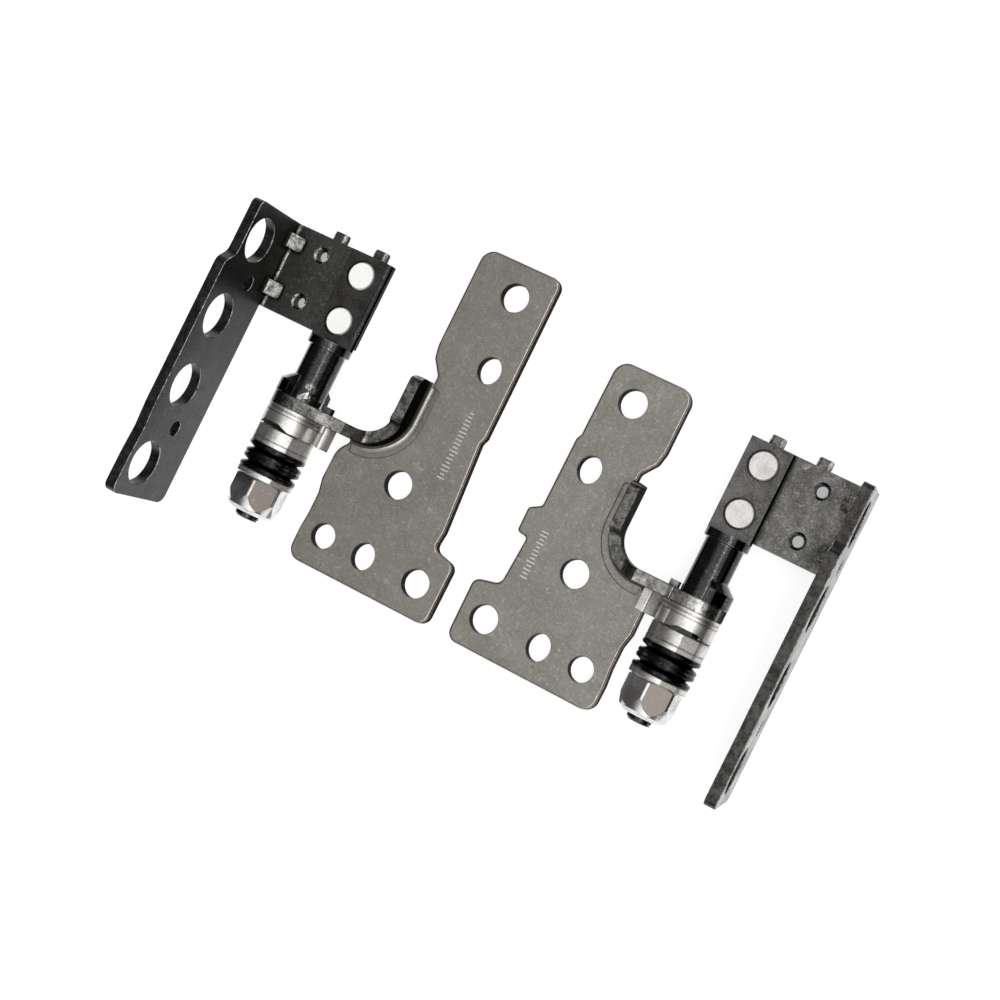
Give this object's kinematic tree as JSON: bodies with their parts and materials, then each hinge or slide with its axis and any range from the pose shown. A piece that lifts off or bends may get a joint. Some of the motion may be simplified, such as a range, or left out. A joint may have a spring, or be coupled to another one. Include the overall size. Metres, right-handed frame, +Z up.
{
  "type": "laptop hinge pair",
  "caption": "Left and right laptop friction hinges: screw plate folded into a wall and ring, black shaft with cams, disc springs and nut, riveted to a lid bracket with an upright drilled leaf.",
  "frame": {"origin": "the middle of the pair's footprint, on the table", "axes": "X across both hinges, with the hinge at the left of the picture at -X; Y along both shafts, nuts towards -Y; Z up, plates flat"},
  "size_m": [0.0672, 0.0379, 0.0117],
  "materials": {
    "plate_steel": "satin, fine scratches",
    "lid_steel": "dark phosphate, satin, sheared edges mottled",
    "black_shaft": "black oxide, glossy",
    "black_spring": "black oxide, oily gloss",
    "cam_steel": "bright turned steel",
    "rivet_steel": "bright satin",
    "nickel": "nickel plate, lightly stained"
  },
  "bodies": {
    "base": {"left_base_bracket": "plate_steel", "left_fixed_cam": "cam_steel", "right_base_bracket": "plate_steel", "right_fixed_cam": "cam_steel"},
    "left_lid": {"left_shaft": "black_shaft", "left_lid_bracket": "lid_steel", "left_rivet_1": "rivet_steel", "left_rivet_2": "rivet_steel", "left_friction_washer": "cam_steel", "left_moving_cam": "cam_steel", "left_backing_washer": "cam_steel", "left_disc_spring_1": "black_spring", "left_disc_spring_2": "black_spring", "left_disc_spring_3": "black_spring", "left_disc_spring_4": "black_spring", "left_end_washer": "cam_steel", "left_nut": "nickel"},
    "right_lid": {"right_shaft": "black_shaft", "right_lid_bracket": "lid_steel", "right_rivet_1": "rivet_steel", "right_rivet_2": "rivet_steel", "right_friction_washer": "cam_steel", "right_moving_cam": "cam_steel", "right_backing_washer": "cam_steel", "right_disc_spring_1": "black_spring", "right_disc_spring_2": "black_spring", "right_disc_spring_3": "black_spring", "right_disc_spring_4": "black_spring", "right_end_washer": "cam_steel", "right_nut": "nickel"}
  },
  "joints": [
    {"name": "left_lid_hinge", "type": "hinge", "parent": "base", "child": "left_lid", "pos_m": [-0.0223, 0, 0.0031], "axis": [0, 1, 0], "range_deg": [-38, 95]},
    {"name": "right_lid_hinge", "type": "hinge", "parent": "base", "child": "right_lid", "pos_m": [0.0223, 0, 0.0031], "axis": [0, -1, 0], "range_deg": [-38, 95]}
  ]
}
